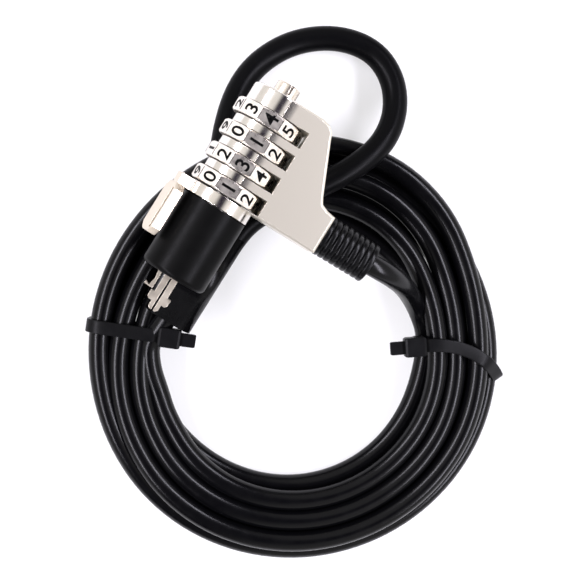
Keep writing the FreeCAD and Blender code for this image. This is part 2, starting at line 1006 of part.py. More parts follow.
def make_crimp():
    long, wide, thick = size("crimp_length"), size("crimp_width"), size("crimp_thickness")
    tilt = Rotation(Vector(1, 0, 0), DIMENSIONS["crimp_tilt"])
    at = (size("crimp_centre_x"), size("crimp_centre_y"), size("crimp_height"))
    outer = stadium("Skin", long, wide, thick, Size(0))
    hollow = stadium("Hollow", long, wide, thick, size("crimp_wall"))
    inner = stadium("Crimp", long, wide, thick, size("crimp_wall"))
    keep("crimp_cover", place(cut("SkinCut", outer, hollow), at, tilt))
    keep("crimp_ferrule", place(inner, at, tilt))


# ---------------------------------------------------------------- cable ties


def tie_loop(grow):
    """The strap's inner or outer outline round the coil, as (distance from centre, height)."""
    slack, step = size("tie_slack"), size("cable_diameter")
    inner, outer = coil_inside - slack - grow, coil_inside + coil_width + slack + grow
    low = coil_bottom + size("tie_thickness") - grow
    high = size("coil_top") + slack + grow
    lift, corner = high + size("tie_rise"), size("coil_corner")
    return [
        (inner, low),
        (outer, low),
        (outer, high - corner),
        (outer - corner, high),
        (inner + step + size("tie_rise"), high),
        (inner + step, lift),
        (inner, lift),
    ]


def make_tie(side):
    angle = DIMENSIONS[f"tie_{side}_angle"]
    spin = Rotation(Vector(0, 0, 1), angle)
    at = (coil_x, coil_y, 0)
    width, thick = size("tie_width"), size("tie_thickness")
    strap = new_body(f"Strap{side.title()}")
    loops = [tie_loop(thick), tie_loop(Size(0))]
    padded(strap, f"StrapLoop{side.title()}", loops, width, role="XZ_Plane")
    inner = coil_inside - size("tie_slack") - thick
    lift = tie_loop(thick)[-1][1]
    tail = box(
        f"StrapTail{side.title()}",
        (inner - size("tie_tail"), -width / 2, lift - thick),
        (size("tie_tail") + 0.5, width, thick),
    )
    keep(f"tie_{side}_strap", place(fuse(f"Tie{side.title()}", strap, tail), at, spin))
    head_width, head_high = size("tie_head_width"), size("tie_head_height")
    block = box(
        f"TieBlock{side.title()}",
        (inner - 0.6, -head_width / 2, lift - head_high + 0.9),
        (size("tie_head_length"), head_width, head_high),
    )
    channel = fuse(f"TieCopy{side.title()}", strap, tail)
    head = cut(f"TieHead{side.title()}", block, channel)
    keep(f"tie_{side}_head", place(head, at, spin))


# ---------------------------------------------------------------- build, check, write

make_sleeve()
make_nose_disc()
make_bush()
make_barb()
make_core()
make_lever()
make_drive_pin()
make_tee()
for number, middle in enumerate(dial_middles, start=1):
    make_dial(number, middle)
make_housing()
make_cover_and_screws()
make_cable_stop()
make_button()
make_relief()
cord("cable_lead", LEAD, DIMENSIONS["cable_diameter"])
cord("cable_tail", TAIL, DIMENSIONS["cable_diameter"])
cord("cable_loop", LOOP, DIMENSIONS["loop_diameter"])
make_coil()
make_crimp()
make_tie("left")
make_tie("right")

doc.recompute()
for thing in doc.Objects:
    if {"Invalid", "Error"} & set(thing.State):
        raise ValueError(f"{thing.Label} failed: {thing.State}")
for node, thing in PARTS.items():
    if thing.Shape.isNull() or not thing.Shape.isValid():
        raise ValueError(f"{node} has no valid shape")
    if len(thing.Shape.Solids) != 1:
        raise ValueError(f"{node} has {len(thing.Shape.Solids)} solids and should have one")

os.makedirs("parts", exist_ok=True)
for node, thing in PARTS.items():
    thing.Shape.exportStep(f"parts/{node}.step")
    print(f"{node}: {thing.Shape.Volume:.1f} cubic mm")
print(len(PARTS), "sub-parts")
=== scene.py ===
# %% [markdown]
# # A combination cable lock for a laptop
#
# The lock is a nickel-plated head with four number dials, a thumb lever that turns a T-bar, and a
# black steel cable wound into a coil that the head lies on. The CAD model brings every hard part.
# This script makes the soft and fine things: the cable, its loop, the ribbed boot, the crimped
# ferrule, the two cable ties and the digits, and it gives each surface its finish.

import json
import math

import bmesh
import bpy
from mathutils import Matrix, Vector


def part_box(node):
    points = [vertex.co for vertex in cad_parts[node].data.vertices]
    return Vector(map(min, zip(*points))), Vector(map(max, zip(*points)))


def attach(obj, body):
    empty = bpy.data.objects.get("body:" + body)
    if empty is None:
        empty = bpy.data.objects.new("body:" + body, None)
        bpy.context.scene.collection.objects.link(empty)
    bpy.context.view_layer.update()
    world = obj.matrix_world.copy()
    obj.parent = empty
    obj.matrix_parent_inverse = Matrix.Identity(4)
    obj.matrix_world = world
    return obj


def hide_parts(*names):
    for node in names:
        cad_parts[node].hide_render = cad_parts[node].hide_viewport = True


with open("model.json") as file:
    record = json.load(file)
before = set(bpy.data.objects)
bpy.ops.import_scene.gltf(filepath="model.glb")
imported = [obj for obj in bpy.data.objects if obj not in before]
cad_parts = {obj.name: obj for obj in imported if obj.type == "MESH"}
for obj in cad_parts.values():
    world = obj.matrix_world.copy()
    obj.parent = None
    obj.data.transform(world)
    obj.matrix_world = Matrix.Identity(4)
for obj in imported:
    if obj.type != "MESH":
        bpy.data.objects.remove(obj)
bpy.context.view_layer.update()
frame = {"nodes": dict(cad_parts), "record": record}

# %% Units and small tools
MM = 0.001


def mm(x, y, z):
    """A point given in millimetres."""
    return Vector((x, y, z)) * MM


def corners_of(node):
    """The lowest and highest corner of a CAD part's box."""
    low, high = (Vector(corner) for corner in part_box(node))
    return low, high


def middle_of(node):
    low, high = corners_of(node)
    return (low + high) / 2


print("lengths are in metres, and one millimetre is", MM)

# %% [markdown]
# ## The camera
#
# The camera looks almost straight down from about 290 mm, turned so that the lock's axis leans to
# the left. A longer lens keeps the coil round.

# %% Camera
camera_place = mm(-8.7, 12.2, 275.9)
camera_back = Vector((-0.1218, -0.0006, 0.9926)).normalized()
camera_up = Vector((-0.522, 0.8506, -0.0635)).normalized()
camera_right = camera_up.cross(camera_back).normalized()
camera_up = camera_back.cross(camera_right)

camera_data = bpy.data.cameras.new("studio_camera")
camera_data.lens = 71.9
camera_data.sensor_width = 36.0
camera_data.clip_start = 10 * MM
camera = bpy.data.objects.new("studio_camera", camera_data)
bpy.context.scene.collection.objects.link(camera)
axes = Matrix((camera_right, camera_up, camera_back)).transposed().to_4x4()
camera.matrix_world = Matrix.Translation(camera_place) @ axes
bpy.context.scene.camera = camera
print("camera", [round(v, 4) for v in camera.location], "lens", camera_data.lens)

# %% [markdown]
# ## How a cord is made
#
# A cord is one curve with a round bevel, so its thickness is the same all along. A tube of mesh
# rings would do as well, but a curve is easier to reshape: moving one point bends it smoothly.
# Its control points are listed where it runs free, and the curve rounds every corner by itself,
# as a stiff cable does.


# %% Cord tools
def new_piece(name, data, finish=None):
    """An object in the scene, holding a mesh or a curve."""
    piece = bpy.data.objects.new(name, data)
    bpy.context.scene.collection.objects.link(piece)
    if finish:
        data.materials.append(finish)
    return piece


def cord_curve(name, points, diameter, finish):
    """One open, smooth spline through the neighbourhood of its points."""
    curve = bpy.data.curves.new(name, "CURVE")
    curve.dimensions = "3D"
    curve.bevel_depth = diameter / 2
    curve.bevel_resolution = 8
    curve.use_fill_caps = True
    curve.resolution_u = 6
    spline = curve.splines.new("NURBS")
    spline.points.add(len(points) - 1)
    for knot, point in zip(spline.points, points):
        knot.co = (*point, 1.0)
    spline.order_u = 3
    spline.use_endpoint_u = True
    return new_piece(name, curve, finish)


print("cord tools ready")

# %% [markdown]
# ## Finishes
#
# Every finish is built from the same few moves: a base colour, a roughness that wanders a little,
# and a bump with grain at its real size. Colours are written as sRGB hex and turned to linear,
# because the shader works with linear light.


# %% Tools for finishes
def hex_colour(code):
    """Linear RGBA from an sRGB hex code."""
    parts = [int(code[i : i + 2], 16) / 255 for i in (1, 3, 5)]
    linear = [c / 12.92 if c <= 0.04045 else ((c + 0.055) / 1.055) ** 2.4 for c in parts]
    return (*linear, 1.0)


def add(tree, kind, inputs=None, **settings):
    """A new node; inputs are values or sockets to link from."""
    node = tree.nodes.new(kind)
    for key, value in settings.items():
        setattr(node, key, value)
    for name, value in (inputs or {}).items():
        if isinstance(value, bpy.types.NodeSocket):
            tree.links.new(value, node.inputs[name])
        else:
            node.inputs[name].default_value = value
    return node


def blank_finish(name):
    finish = bpy.data.materials.new(name)
    finish.use_nodes = True
    tree = finish.node_tree
    shader = tree.nodes["Principled BSDF"]
    place = add(tree, "ShaderNodeTexCoord").outputs["Object"]
    return finish, tree, shader, place


def grain(tree, place, size_mm, detail=3.0, rough=0.55):
    """Cloudy noise whose lumps are about size_mm across."""
    return add(
        tree,
        "ShaderNodeTexNoise",
        {"Vector": place, "Scale": 1 / (size_mm * MM), "Detail": detail, "Roughness": rough},
    ).outputs["Fac"]


def spread(tree, value, low, high, start=0.3, end=0.7):
    """Stretches a noise value to run from low to high."""
    return add(
        tree,
        "ShaderNodeMapRange",
        {"Value": value, "From Min": start, "From Max": end, "To Min": low, "To Max": high},
    ).outputs["Result"]


def bump(tree, height, depth_mm, under=None):
    """A bump of the given real depth, on top of another normal if there is one."""
    inputs = {"Height": height, "Distance": depth_mm * MM, "Strength": 1.0}
    if under is not None:
        inputs["Normal"] = under
    return add(tree, "ShaderNodeBump", inputs).outputs["Normal"]


print("mid grey #808080 is", round(hex_colour("#808080")[0], 3), "in linear light")

# %% [markdown]
# ### Plated metal
#
# The head is die-cast zinc with bright nickel plate. Plate on a casting isn't a perfect mirror:
# it rolls gently over a few millimetres, has faint polishing haze, and its edges are eased by the
# tumbling that comes before plating. A bevel in the shader rounds those edges. The haze is finer
# than the eye can part, so its grain is drawn at 0.12 mm, as coarse as it needs to show.


# %% Plated metal
def plated(name, colour, rough_low, rough_high, roll_mm=0.012, haze_mm=0.0006, edge_mm=0.18):
    """Plate whose roughness wanders between two values."""
    finish, tree, shader, place = blank_finish(name)
    shader.inputs["Metallic"].default_value = 1.0
    shader.inputs["Base Color"].default_value = hex_colour(colour)
    haze = grain(tree, place, 1.6, detail=4.0)
    tree.links.new(spread(tree, haze, rough_low, rough_high), shader.inputs["Roughness"])
    eased = add(tree, "ShaderNodeBevel", {"Radius": edge_mm * MM}, samples=4).outputs["Normal"]
    rolled = bump(tree, grain(tree, place, 4.5, detail=1.0), roll_mm, eased)
    fine = bump(tree, grain(tree, place, 0.12, detail=2.0), haze_mm, rolled)
    tree.links.new(fine, shader.inputs["Normal"])
    return finish


print("plated metal ready")

# %% [markdown]
# ### Bright barrel, satin wing
#
# The barrel and collar are buffed bright on a wheel, but the flat wing and the lever's pad keep a
# fine satin. Two materials would need a cut through the casting. Instead, one material measures
# how far each point is from the lock's axis and fades from bright to satin past a set distance.
# A Mix node has one set of sockets for each kind of value, all with the same names, so the colour
# sockets are picked by number.

# %% Satin away from the axis
MIX_RESULT = 2
MIX_INSIDE, MIX_OUTSIDE = 6, 7
SATIN_VARIES = 0.012
BRUSHING_MM = 0.25


def satin_outside(finish, bright_to_mm, satin_from_mm, satin, satin_colour):
    """Leaves the metal near the lock's axis bright and turns it satin further out."""
    tree = finish.node_tree
    shader = tree.nodes["Principled BSDF"]
    bright = shader.inputs["Roughness"].links[0].from_socket
    bright_colour = tuple(shader.inputs["Base Color"].default_value)
    place = add(tree, "ShaderNodeTexCoord").outputs["Object"]
    level = add(tree, "ShaderNodeVectorMath", {0: place, 1: (1, 0, 1)}, operation="MULTIPLY")
    away = add(tree, "ShaderNodeVectorMath", {0: level.outputs["Vector"]}, operation="LENGTH")
    outside = spread(tree, away.outputs["Value"], 0.0, 1.0, bright_to_mm * MM, satin_from_mm * MM)
    cloud = grain(tree, place, BRUSHING_MM, detail=4.0)
    brushed = spread(tree, cloud, satin - SATIN_VARIES, satin + SATIN_VARIES)
    rough = add(tree, "ShaderNodeMix", {"Factor": outside, "A": bright, "B": brushed})
    tree.links.new(rough.outputs["Result"], shader.inputs["Roughness"])
    colours = {0: outside, MIX_INSIDE: bright_colour, MIX_OUTSIDE: hex_colour(satin_colour)}
    colour = add(tree, "ShaderNodeMix", colours, data_type="RGBA")
    tree.links.new(colour.outputs[MIX_RESULT], shader.inputs["Base Color"])


housing_plate = plated("housing_nickel_plate", "#e0dbd4", 0.14, 0.20, roll_mm=0.008)
satin_outside(housing_plate, 7.6, 8.6, 0.38, "#dcd6c8")
lever_plate = plated("lever_nickel_plate", "#e0dad2", 0.12, 0.18, roll_mm=0.008)
satin_outside(lever_plate, 8.6, 9.3, 0.30, "#d8cdbd")
dial_plate = plated("dial_nickel_plate", "#e6e0d8", 0.24, 0.34, edge_mm=0.12)
button_plate = plated("button_nickel_plate", "#dcd3c6", 0.24, 0.32, roll_mm=0.006, haze_mm=0.002)
turned_steel = plated("bright_turned_steel", "#d8cfc0", 0.30, 0.40, roll_mm=0.006, edge_mm=0.15)
plain_steel = plated("plain_steel", "#6e6c69", 0.30, 0.45, roll_mm=0.004, edge_mm=0.1)
print("plated finishes made")

# %% [markdown]
# ### Black plastics and rubber
#
# The sleeve is satin ABS with a fine spark-eroded grain. The cable's jacket is glossy extruded
# PVC, a little wavy along its length; the loop's sleeving is duller. Nylon ties have a dry sheen,
# and the boot is soft PVC.


# %% Black plastics
BLACK_PLASTIC_IOR = 1.42


def moulded(name, colour, shine, rough_low, rough_high, grain_mm, grain_depth_mm, wave_mm):
    """A moulded or extruded black plastic; shine is its specular level."""
    finish, tree, shader, place = blank_finish(name)
    shader.inputs["Base Color"].default_value = hex_colour(colour)
    shader.inputs["IOR"].default_value = BLACK_PLASTIC_IOR
    shader.inputs["Specular IOR Level"].default_value = shine
    cloud = grain(tree, place, 3.0, detail=4.0)
    tree.links.new(spread(tree, cloud, rough_low, rough_high), shader.inputs["Roughness"])
    wavy = bump(tree, grain(tree, place, 9.0, detail=1.0), wave_mm)
    fine = bump(tree, grain(tree, place, grain_mm, detail=3.0), grain_depth_mm, wavy)
    tree.links.new(fine, shader.inputs["Normal"])
    return finish


sleeve_black = moulded("sleeve_satin_abs", "#070707", 0.05, 0.30, 0.38, 0.10, 0.0030, 0.010)
jacket_black = moulded("cable_glossy_pvc", "#040405", 0.20, 0.18, 0.26, 0.22, 0.0020, 0.030)
sleeving_black = moulded("loop_satin_pvc", "#050506", 0.06, 0.28, 0.36, 0.20, 0.0030, 0.030)
crimp_black = moulded("ferrule_glossy_cover", "#040405", 0.17, 0.20, 0.30, 0.25, 0.0020, 0.020)
boot_black = moulded("boot_soft_pvc", "#050506", 0.17, 0.22, 0.32, 0.15, 0.0030, 0.010)
nylon_black = moulded("tie_nylon", "#0a0a0b", 0.09, 0.28, 0.40, 0.12, 0.0030, 0.010)
# the digit paint also colours the strips of painted dark reflection along the dials' edges
digit_and_edge_reflection_black = moulded("digit_print_and_edge_reflection", "#040404", 0.08, 0.35, 0.50, 0.10, 0.0020, 0.004)
print("plastic finishes made")

# %% [markdown]
# ## The cable
#
# The cable leaves the boot, drops to the floor inside the coil, goes round six and a half times
# and comes up again to the ferrule. The turns lie four wide on the floor with three more nested
# in the grooves above them. Where the head holds them up they spread out, and each turn moves one
# groove over. Two tables say this. The first holds the angles where the lie is known; the second
# gives, for every turn, how far it lies from the middle of the coil's width and how high above the
# floor strands it rests, both counted in cable diameters. The turns are laid by these tables and
# not by simulation. Real turns lie a full diameter apart, but here neighbours run into each other
# in places, most of all where the cable's end rises to the ferrule.

# %% Where the turns lie
cable_diameter = 5.4 * MM
coil_low, coil_high = corners_of("cable_coil")
coil_centre = (coil_low + coil_high) / 2
coil_radius = (coil_high.x - coil_low.x) / 2 - 2 * cable_diameter
floor_height = coil_low.z

BOOT_TO_COIL = [
    (0.0351, 0.0277, 0.0012),
    (0.0391, 0.0277, 0.0012),
    (0.0445, 0.0281, -0.0012),
    (0.0500, 0.0282, -0.0068),
    (0.0547, 0.0274, -0.0140),
    (0.0600, 0.0255, -0.0200),
]
COIL_TO_FERRULE = [
    (0.0132, -0.0278, -0.0196),
    (0.0080, -0.0234, -0.0184),
    (0.0040, -0.0176, -0.0172),
    (0.0048, -0.0102, -0.0142),
    (0.0052, -0.0060, -0.0138),
]
KEY_ANGLES = (0, 90, 135, 180, 270, 315)
TURNS = [
    [(-1.80, 0.06), (-1.45, 0), (-1.00, 0), (-0.80, 0), (-1.50, 0), (-1.10, 0)],
    [(-0.72, 0), (-0.46, 0), (0.02, 0), (0.28, 0), (0.18, 0), (0.30, 0)],
    [(0.35, 0), (0.53, 0), (1.02, 0), (1.26, 0), (1.20, 0), (1.30, 0)],
    [(1.60, 0), (1.50, 0), (1.20, 0.80), (1.38, 0.98), (1.92, 0.78), (0.72, 0.87)],
    [(0.95, 0.87), (0.92, 0.87), (0.45, 0.90), (0.10, 0.97), (0.60, 0.84), (-0.42, 0.87)],
    [(-0.12, 0.87), (-0.10, 0.87), (-0.55, 0.90), (-0.95, 0.94), (-0.62, 0.84), (-1.36, 1.10)],
    [(-1.12, 0.87), (-1.05, 0.87), (-1.45, 0.70)],
]
TIE_ANGLES = {"left": 203.0, "right": 36.0}
STRAP_THICKNESS = 1.1 * MM
LIFT_REACH = 32  # degrees round the coil over which a strand comes back down
LEAD_KEYS = [(-39.0, -1.72, 0.36), (-22.0, -1.85, 0.14)]
TAIL_START = 6 * 360 + 126
POINTS_PER_TURN = 20
print(len(TURNS), "turns are listed, the last one short, on a radius of", round(coil_radius, 4))

# %% [markdown]
# ### From the tables to a smooth lie
#
# Between two known angles the cable eases from one lie to the next. A cubic curve through the
# listed values does that without a kink. A strap also passes under the coil at each tie, so the
# strands there are lifted by its thickness.

# %% A smooth lie
def coil_keys():
    """Every known lie along the whole winding, as (angle wound so far, offset, rise)."""
    keys = list(LEAD_KEYS)
    for turn, lies in enumerate(TURNS):
        keys += [(turn * 360 + a, out, up) for a, (out, up) in zip(KEY_ANGLES, lies)]
    return keys


def lie_at(angle, keys):
    """Offset and rise at an angle, on a smooth curve through the keys."""
    i = max(k for k, key in enumerate(keys[:-1]) if key[0] <= angle)
    before, here, there, after = (keys[min(max(j, 0), len(keys) - 1)] for j in range(i - 1, i + 3))
    span = there[0] - here[0]
    t = (angle - here[0]) / span
    lie = []
    for n in (1, 2):
        slope_a = (there[n] - before[n]) / (there[0] - before[0]) * span
        slope_b = (after[n] - here[n]) / (after[0] - here[0]) * span
        lie.append(
            (2 * t**3 - 3 * t**2 + 1) * here[n]
            + (t**3 - 2 * t**2 + t) * slope_a
            + (3 * t**2 - 2 * t**3) * there[n]
            + (t**3 - t**2) * slope_b
        )
    return lie


def tie_lift(angle):
    """A strap passes under the coil at each tie, and lifts every strand there by its thickness."""
    away = min(abs((-angle - tie + 180) % 360 - 180) for tie in TIE_ANGLES.values())
    near = max(0.0, 1 - away / LIFT_REACH)
    return STRAP_THICKNESS * near**2 * (3 - 2 * near)


def strand_middle(angle, keys, scale=1.0):
    """The middle of the cable when it has wound that far round the coil, clockwise."""
    out, up = lie_at(angle, keys)
    radius = (coil_radius + out * cable_diameter) * scale
    turn = math.radians(-angle)
    height = floor_height + cable_diameter * (0.5 + up) + tie_lift(angle)
    return Vector(
        (coil_centre.x + radius * math.cos(turn), coil_centre.y + radius * math.sin(turn), height)
    )


keys = coil_keys()
print(len(keys), "known lies along the winding")

# %% [markdown]
# ### The whole route
#
# The route joins three stretches: out of the boot, round the coil, and up to the ferrule.

# %% The cable's route
step = 360 / POINTS_PER_TURN
# a smooth spline runs inside its control points, so they stand that much further out
outside = 1 / math.cos(math.pi / POINTS_PER_TURN)
route = [Vector(p) for p in BOOT_TO_COIL]
angle = LEAD_KEYS[0][0]
while angle < TAIL_START:
    route.append(strand_middle(angle, keys, outside))
    angle += step
route += [Vector(p) for p in COIL_TO_FERRULE]
cable = cord_curve("steel_cable", route, cable_diameter, jacket_black)
print("cable has", len(route), "points, coil radius", round(coil_radius / MM, 2), "mm")

# %% [markdown]
# ## The loop
#
# The far end of the cable is doubled back into the ferrule inside a thicker sleeve, and makes the
# loop that the head is passed through. It rises over the coil and sags to the floor at its end.

# %% The loop
loop_diameter = 6.4 * MM
LOOP = [
    (0.00185, 0.0100, -0.01245),
    (0.00185, 0.0163, -0.0119),
    (-0.0012, 0.0235, -0.0125),
    (-0.0046, 0.0310, -0.0129),
    (-0.0082, 0.0395, -0.0160),
    (-0.0104, 0.0495, -0.0198),
    (-0.0092, 0.0587, -0.0222),
    (-0.0042, 0.0678, -0.0232),
    (0.0045, 0.0746, -0.0232),
    (0.0145, 0.0768, -0.0228),
    (0.0228, 0.0728, -0.0214),
    (0.0276, 0.0650, -0.0186),
    (0.0283, 0.0560, -0.0148),
    (0.0250, 0.0470, -0.0128),
    (0.0195, 0.0380, -0.0125),
    (0.0140, 0.0300, -0.0125),
    (0.0098, 0.0228, -0.0122),
    (0.00835, 0.0163, -0.0119),
    (0.00835, 0.0100, -0.01245),
]
loop = cord_curve("loop_in_sleeving", LOOP, loop_diameter, sleeving_black)
print("loop has", len(LOOP), "points")


# %% [markdown]
# ## Skins made from rings
#
# The boot, the ferrule's cover and the ties are all skins stretched over a row of rings of points.


# %% Ring skins
def ring_skin(name, rings, finish, loop_round=False):
    """A closed skin over rings of equal size; the row of rings may itself close."""
    mesh = bmesh.new()
    rows = [[mesh.verts.new(p) for p in ring] for ring in rings]
    pairs = list(zip(rows, rows[1:]))
    if loop_round:
        pairs.append((rows[-1], rows[0]))
    else:
        mesh.faces.new(list(reversed(rows[0])))
        mesh.faces.new(rows[-1])
    for a, b in pairs:
        for i in range(len(a)):
            j = (i + 1) % len(a)
            mesh.faces.new((a[i], a[j], b[j], b[i]))
    bmesh.ops.recalc_face_normals(mesh, faces=mesh.faces)
    data = bpy.data.meshes.new(name)
    mesh.to_mesh(data)
    mesh.free()
    for face in data.polygons:
        face.use_smooth = True
    return new_piece(name, data, finish)


print("ring skins ready")

# %% [markdown]
# ## The ribbed boot
#
# The boot stops the cable from kinking where it leaves the head. It is one soft moulding of
# rounded ribs with narrow grooves between them, a little slimmer towards its end, and it droops
# slightly with the cable.

# %% The boot
boot_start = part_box("housing")[1][0]
boot_axis = middle_of("strain_relief")
boot_length = corners_of("strain_relief")[1].x - boot_start
BOOT_RIBS = 9
BOOT_ROOT_RADIUS = 5.2 * MM
BOOT_END_RADIUS = 5.0 * MM
RIB_DEPTH = 0.75 * MM
STEPS_PER_RIB = 12
BOOT_SIDES = 64
BOOT_DROOP = 0.9 * MM
BOOT_MOUTH_RADIUS = 2.75 * MM
BOOT_BORE_RADIUS = 2.6 * MM
BORE_SEEN_TO = 0.93


def boot_radius(along):
    """Ribs are round-backed; along runs from 0 at the head to 1 at the cable."""
    body = BOOT_ROOT_RADIUS + (BOOT_END_RADIUS - BOOT_ROOT_RADIUS) * along
    phase = (along * BOOT_RIBS) % 1.0
    crown = math.sqrt(max(0.0, 1 - (2 * phase - 1) ** 4))
    return body - RIB_DEPTH * (1 - crown)


def boot_ring(along, radius):
    droop = -BOOT_DROOP * along**2
    centre = Vector((boot_start + boot_length * along, boot_axis.y, boot_axis.z + droop))
    turns = (2 * math.pi * k / BOOT_SIDES for k in range(BOOT_SIDES))
    return [centre + radius * Vector((0, math.cos(a), math.sin(a))) for a in turns]


rib_steps = BOOT_RIBS * STEPS_PER_RIB
boot_rings = [boot_ring(k / rib_steps, boot_radius(k / rib_steps)) for k in range(rib_steps + 1)]
boot_rings.append(boot_ring(1.0, BOOT_MOUTH_RADIUS))
boot_rings.append(boot_ring(BORE_SEEN_TO, BOOT_BORE_RADIUS))
boot = ring_skin("ribbed_boot", boot_rings, boot_black)
print("boot", BOOT_RIBS, "ribs over", round(boot_length / MM, 1), "mm")

# %% [markdown]
# ## The ferrule
#
# The two strands of the loop and the cable's end are crimped in a flat-sided metal ferrule, with
# a glossy black cover shrunk over it. Its ends are rounded over.

# %% The ferrule's cover
crimp_centre = middle_of("crimp_cover")
CRIMP_LENGTH = 27.0 * MM
CRIMP_WIDTH = 13.0 * MM
CRIMP_THICKNESS = 6.8 * MM
CRIMP_TILT = math.radians(5)
CRIMP_ROUND = 1.4 * MM
END_STEPS = 6
OVAL_STEPS = 14


def flat_oval(width, thick):
    """A flat-sided oval in the X-Z plane."""
    half, radius = (width - thick) / 2, thick / 2
    points = []
    for side, start in ((1, -math.pi / 2), (-1, math.pi / 2)):
        for k in range(OVAL_STEPS + 1):
            a = start + math.pi * k / OVAL_STEPS
            points.append(Vector((side * half + radius * math.cos(a), 0, radius * math.sin(a))))
    return points


def crimp_ring(y, inset):
    tilt = Matrix.Rotation(CRIMP_TILT, 3, "X")
    oval = flat_oval(CRIMP_WIDTH - 2 * inset, CRIMP_THICKNESS - 2 * inset)
    return [crimp_centre + tilt @ (p + Vector((0, y, 0))) for p in oval]


crimp_rings = []
for side in (-1, 1):
    quarter = [math.pi / 2 * k / END_STEPS for k in range(END_STEPS + 1)]
    for a in quarter if side < 0 else reversed(quarter):
        y = side * (CRIMP_LENGTH / 2 - CRIMP_ROUND * (1 - math.sin(a)))
        crimp_rings.append(crimp_ring(y, CRIMP_ROUND * (1 - math.cos(math.pi / 2 - a))))
crimp = ring_skin("ferrule_cover", crimp_rings, crimp_black)
print("ferrule cover", len(crimp_rings), "rings")

# %% [markdown]
# ## The cable ties
#
# A nylon tie is pulled tight, so its strap runs straight from strand to strand and bends only
# where it goes round one. That is the outline of an elastic band round a bundle: for every
# direction, the strand that lies furthest that way carries the strap. The tie's head sits inside
# the coil, with the cut-off tail of the strap pointing to the middle.

# %% Sizes of a tie
STRAP_WIDTH = 3.4 * MM
STRAP_STEPS = 120
STRAP_SMOOTHING = 8
TIES = {
    "left": {"skew": 0, "head_out": 36.2 * MM, "head_in": 30.4 * MM, "tail_in": 26.6 * MM},
    "right": {"skew": 11, "head_out": 33.0 * MM, "head_in": 27.2 * MM, "tail_in": 23.6 * MM},
}
SKEW_REACH = 54 * MM
HEAD_WIDTH = 5.0 * MM
HEAD_HEIGHT = 3.6 * MM
HEAD_BELOW, HEAD_ABOVE = 0.55, 0.45  # shares of the head's height under and over the strap
HEAD_SLOPE = 0.7 * MM
HEAD_STANDOFF = 1.4 * MM
HEAD_EDGE_MM, TAIL_EDGE_MM = 0.3, 0.15
TAIL_IN_HEAD = 1.0 * MM
TAIL_TAPER = 0.5 * MM
TAIL_END_SHARE = 0.9
print("straps are", round(STRAP_WIDTH / MM, 1), "by", round(STRAP_THICKNESS / MM, 1), "mm")

# %% [markdown]
# ### Where a strap runs
#
# First the script finds where the cable crosses the tie, then it stretches a band round those
# crossings. The band's points bunch up on the outer strands, so they are spread evenly and
# smoothed a little, as nylon is too stiff for a sharp fold.


# %% Where a strap runs
def tie_angle(side, out):
    """The tie's angle round the coil, which drifts towards its outer end when it is skewed."""
    plan = TIES[side]
    share = max(0.0, (out - plan["head_out"]) / (SKEW_REACH - plan["head_out"]))
    return TIE_ANGLES[side] - plan["skew"] * share**2


def strands_at(side):
    """Where the cable crosses the tie, as (distance from the coil's middle, height)."""
    wound, strands = -TIE_ANGLES[side] % 360 - 360, []
    while wound < TAIL_START:
        if wound > LEAD_KEYS[0][0]:
            out = coil_radius + lie_at(wound, keys)[0] * cable_diameter
            crossing = wound + TIE_ANGLES[side] - tie_angle(side, out)
            point = strand_middle(crossing, keys)
            strands.append(Vector(((point - coil_centre).xy.length, point.z)))
        wound += 360
    if side == "left":
        near, over, far = (Vector(p) for p in COIL_TO_FERRULE[1:4])
        point = (near + over * 6 + far) / 8
        strands.append(Vector(((point - coil_centre).xy.length, point.z)))
    return strands


def band_round(strands):
    """The middle line of a tight strap."""
    reach = cable_diameter / 2 + STRAP_THICKNESS / 2
    line = []
    for k in range(STRAP_STEPS):
        a = 2 * math.pi * k / STRAP_STEPS
        away = Vector((math.cos(a), math.sin(a)))
        furthest = max(strands, key=lambda s: s.dot(away))
        line.append(furthest + away * reach)
    return line


def on_tie(side, out, across, height):
    """A point of a tie from its own three directions."""
    turn = math.radians(tie_angle(side, out))
    along = Vector((math.cos(turn), math.sin(turn), 0))
    sideways = Vector((-math.sin(turn), math.cos(turn), 0))
    point = Vector((coil_centre.x, coil_centre.y, 0)) + along * out + sideways * across
    return point + Vector((0, 0, height))


def evened(points):
    """The same closed line with evenly spaced, slightly smoothed points."""
    ends = points[1:] + points[:1]
    sides = [(b - a).length for a, b in zip(points, ends)]
    pace = sum(sides) / STRAP_STEPS
    spaced, walked = [], 0.0
    for a, b, length in zip(points, ends, sides):
        while len(spaced) * pace < walked + length and len(spaced) < STRAP_STEPS:
            spaced.append(a.lerp(b, (len(spaced) * pace - walked) / max(length, 1e-9)))
        walked += length
    for _ in range(STRAP_SMOOTHING):
        before, after = spaced[-1:] + spaced[:-1], spaced[1:] + spaced[:1]
        spaced = [(a + p * 2 + b) / 4 for a, p, b in zip(before, spaced, after)]
    return spaced


for side in TIES:
    print(side, "tie goes round", len(strands_at(side)), "strands")

# %% [markdown]
# ### The strap
#
# The strap is a skin over rings. Each ring is the strap's own cross-section, stood square to the
# band where it is, so the strap keeps its width as it turns under and over the coil.


# %% The strap
def strap_section():
    """The strap's cross-section as (across, outward) pairs, with rounded edges."""
    half, thick, corner = STRAP_WIDTH / 2, STRAP_THICKNESS / 2, 0.3 * MM
    points = []
    for sx, sy, start in ((1, 1, 0), (-1, 1, 90), (-1, -1, 180), (1, -1, 270)):
        for k in range(4):
            a = math.radians(start + 30 * k)
            points.append(
                (
                    sx * (half - corner) + corner * math.cos(a),
                    sy * (thick - corner) + corner * math.sin(a),
                )
            )
    return points


